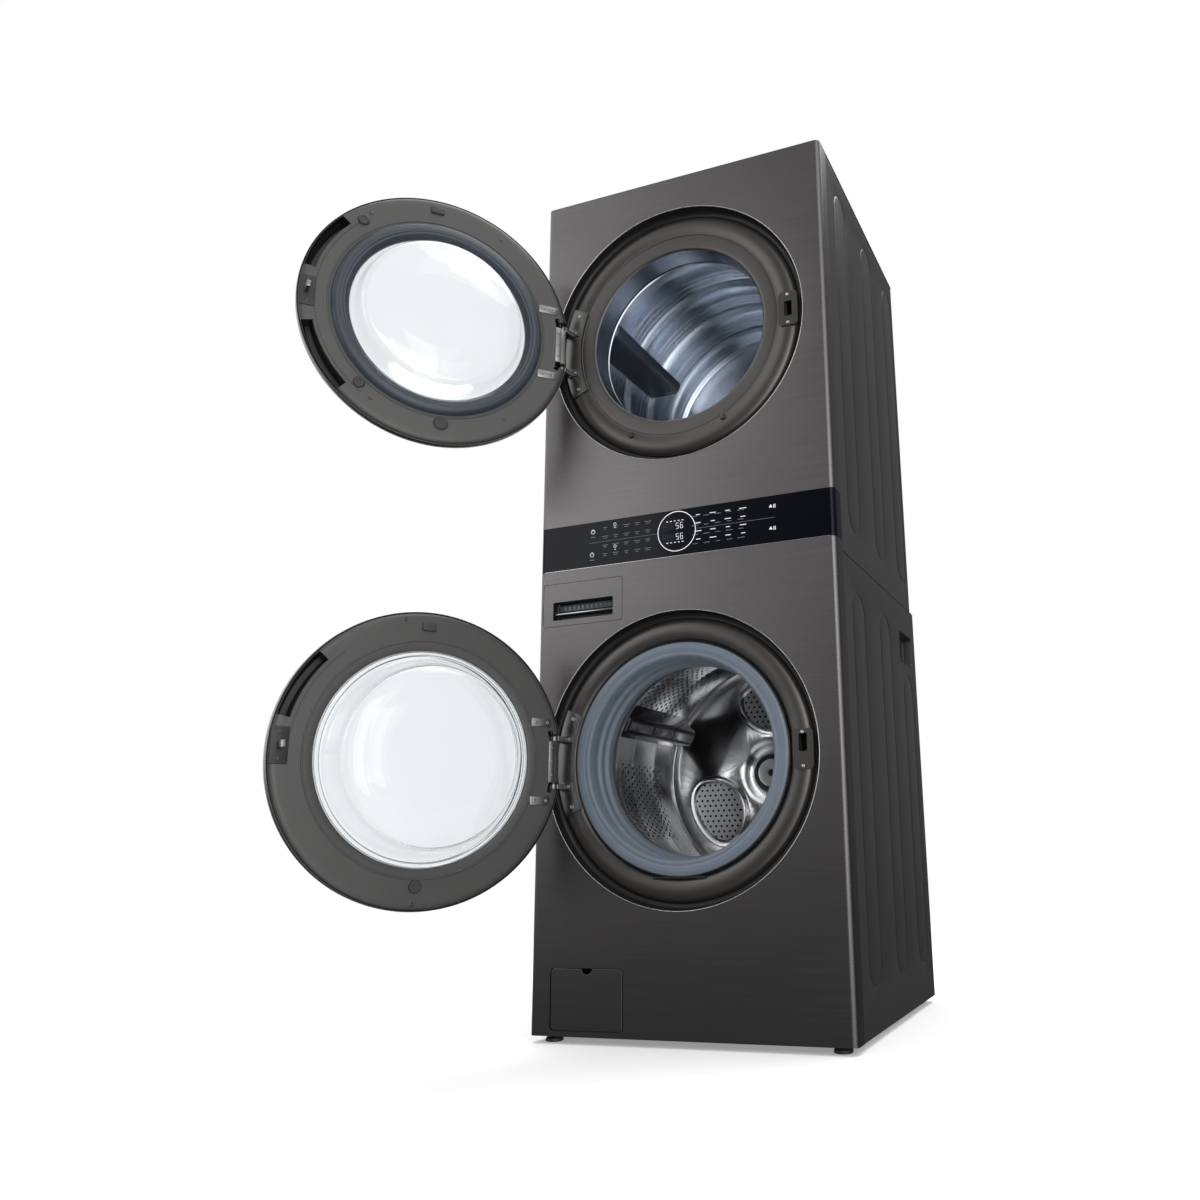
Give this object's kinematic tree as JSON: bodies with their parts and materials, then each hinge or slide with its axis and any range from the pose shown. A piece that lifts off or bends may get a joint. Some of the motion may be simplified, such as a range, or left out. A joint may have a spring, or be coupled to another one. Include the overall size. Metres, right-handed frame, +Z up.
{
  "type": "stacked washer dryer",
  "caption": "Full-height laundry tower: a front-loading washer below, a tumble dryer above, one control band between, both round doors standing open.",
  "frame": {"origin": "on the floor, in the middle of the four feet", "axes": "+Z up, the doors and the control band face -Y, +X to the right of someone facing the front"},
  "size_m": [0.9993, 1.2377, 1.889],
  "materials": {
    "black_steel": "dark brushed",
    "side_paint": "satin",
    "back_zinc": "galvanised",
    "black_glass": "gloss",
    "surround_grey": "satin gloss",
    "chrome": "polished",
    "hinge_steel": "pressed",
    "door_inner": "satin",
    "door_rim": "gloss",
    "smoked_glass": "smoked",
    "clear_glass": "clear",
    "gasket_grey": "matte",
    "seal_blue": "matte",
    "bumper_rubber": "matte",
    "drum_steel": "polished",
    "lifter_plastic": "satin",
    "tub_plastic": "moulded",
    "concrete": "rough",
    "dark_steel": "zinc",
    "motor_grey": "laminated",
    "black_plastic": "satin",
    "drawer_white": "moulded",
    "board_green": "board",
    "fitting_grey": "moulded",
    "belt_rubber": "matte",
    "screen_mesh": "mesh",
    "foot_steel": "black pad on a zinc stem"
  },
  "bodies": {
    "cabinet": {"base_pan": "dark_steel", "foot_lock_nuts": "dark_steel", "washer_side_left": "side_paint", "washer_side_right": "side_paint", "dryer_side_left": "side_paint", "dryer_side_right": "side_paint", "back_panels": "back_zinc", "washer_front_panel": "black_steel", "dryer_front_panel": "black_steel", "top_panel": "side_paint", "side_grips": "black_plastic", "control_fascia": "black_glass", "control_board": "board_green", "dryer_floor": "dark_steel", "washer_bezel": "surround_grey", "dryer_bezel": "surround_grey", "hinge_brackets": "hinge_steel", "latch_plates": "surround_grey", "tub_front": "tub_plastic", "tub_rear": "tub_plastic", "counterweights": "concrete", "tub_suspension": "dark_steel", "motor_stator": "motor_grey", "door_gasket": "gasket_grey", "drawer_housing": "tub_plastic", "drain_pump": "fitting_grey", "rear_fittings": "fitting_grey", "dryer_motor": "motor_grey", "air_ducts": "back_zinc", "drive_belt": "belt_rubber"},
    "washer_door": {"washer_door_shell": "door_rim", "washer_door_window": "smoked_glass", "washer_door_ring": "door_inner", "washer_door_glass": "clear_glass", "washer_door_bumpers": "bumper_rubber", "washer_hinge_leaf": "hinge_steel"},
    "washer_hook": {"washer_door_hook": "chrome"},
    "dryer_door": {"dryer_door_shell": "door_rim", "dryer_door_window": "smoked_glass", "dryer_door_ring": "door_inner", "dryer_door_glass": "clear_glass", "dryer_door_seal": "seal_blue", "dryer_door_bumpers": "bumper_rubber", "dryer_hinge_leaf": "hinge_steel", "dryer_door_hook": "chrome"},
    "drawer": {"drawer_front": "black_steel", "detergent_tray": "drawer_white"},
    "pump_cover": {"pump_cover": "black_steel"},
    "filter_cap": {"pump_filter_cap": "black_plastic"},
    "washer_drum": {"washer_drum": "drum_steel", "washer_lifters": "lifter_plastic", "motor_rotor": "dark_steel"},
    "dryer_drum": {"dryer_drum": "drum_steel", "dryer_lifters": "lifter_plastic"},
    "motor_shaft": {"motor_shaft_set": "dark_steel"},
    "lint_filter": {"lint_filter": "screen_mesh"},
    "foot_front_left": {"foot_front_left": "foot_steel"},
    "foot_front_right": {"foot_front_right": "foot_steel"},
    "foot_rear_left": {"foot_rear_left": "foot_steel"},
    "foot_rear_right": {"foot_rear_right": "foot_steel"}
  },
  "joints": [
    {"name": "washer_door_hinge", "type": "hinge", "parent": "cabinet", "child": "washer_door", "pos_m": [-0.288, -0.368, 0.556], "axis": [0, 0, -1], "range_deg": [-121.5, 13.5]},
    {"name": "washer_hook_pivot", "type": "hinge", "parent": "washer_door", "child": "washer_hook", "pos_m": [-0.56096, -0.8364, 0.569], "axis": [0, 0, -1], "range_deg": [0, 5], "stiffness_Nm_per_rad": 0.5},
    {"name": "dryer_door_hinge", "type": "hinge", "parent": "cabinet", "child": "dryer_door", "pos_m": [-0.288, -0.368, 1.502], "axis": [0, 0, -1], "range_deg": [-130.5, 4.5]},
    {"name": "drawer_slide", "type": "slide", "parent": "cabinet", "child": "drawer", "axis": [0, -1, 0], "range_m": [0, 0.26]},
    {"name": "pump_cover_hinge", "type": "hinge", "parent": "cabinet", "child": "pump_cover", "pos_m": [-0.214, -0.349, 0.029], "axis": [1, 0, 0], "range_deg": [0, 75]},
    {"name": "filter_cap_turn", "type": "hinge", "parent": "cabinet", "child": "filter_cap", "pos_m": [-0.214, -0.34, 0.085], "axis": [0, 1, 0], "range_deg": [0, 120]},
    {"name": "washer_drum_spin", "type": "hinge", "parent": "cabinet", "child": "washer_drum", "pos_m": [-0.012, 0, 0.556], "axis": [0, 1, 0], "continuous": true},
    {"name": "dryer_drum_spin", "type": "hinge", "parent": "cabinet", "child": "dryer_drum", "pos_m": [-0.012, 0, 1.502], "axis": [0, 1, 0], "continuous": true},
    {"name": "motor_spin", "type": "hinge", "parent": "cabinet", "child": "motor_shaft", "pos_m": [0.15, 0.1, 1.075], "axis": [0, 1, 0], "continuous": true},
    {"name": "lint_filter_lift", "type": "slide", "parent": "cabinet", "child": "lint_filter", "axis": [0, 0, 1], "range_m": [0, 0.2]},
    {"name": "foot_front_left_screw", "type": "slide", "parent": "cabinet", "child": "foot_front_left", "axis": [0, 0, -1], "range_m": [0, 0.015]},
    {"name": "foot_front_right_screw", "type": "slide", "parent": "cabinet", "child": "foot_front_right", "axis": [0, 0, -1], "range_m": [0, 0.015]},
    {"name": "foot_rear_left_screw", "type": "slide", "parent": "cabinet", "child": "foot_rear_left", "axis": [0, 0, -1], "range_m": [0, 0.015]},
    {"name": "foot_rear_right_screw", "type": "slide", "parent": "cabinet", "child": "foot_rear_right", "axis": [0, 0, -1], "range_m": [0, 0.015]}
  ],
  "couplings": [
    {"joint": "motor_spin", "follows": "dryer_drum_spin", "ratio": 20.626}
  ]
}
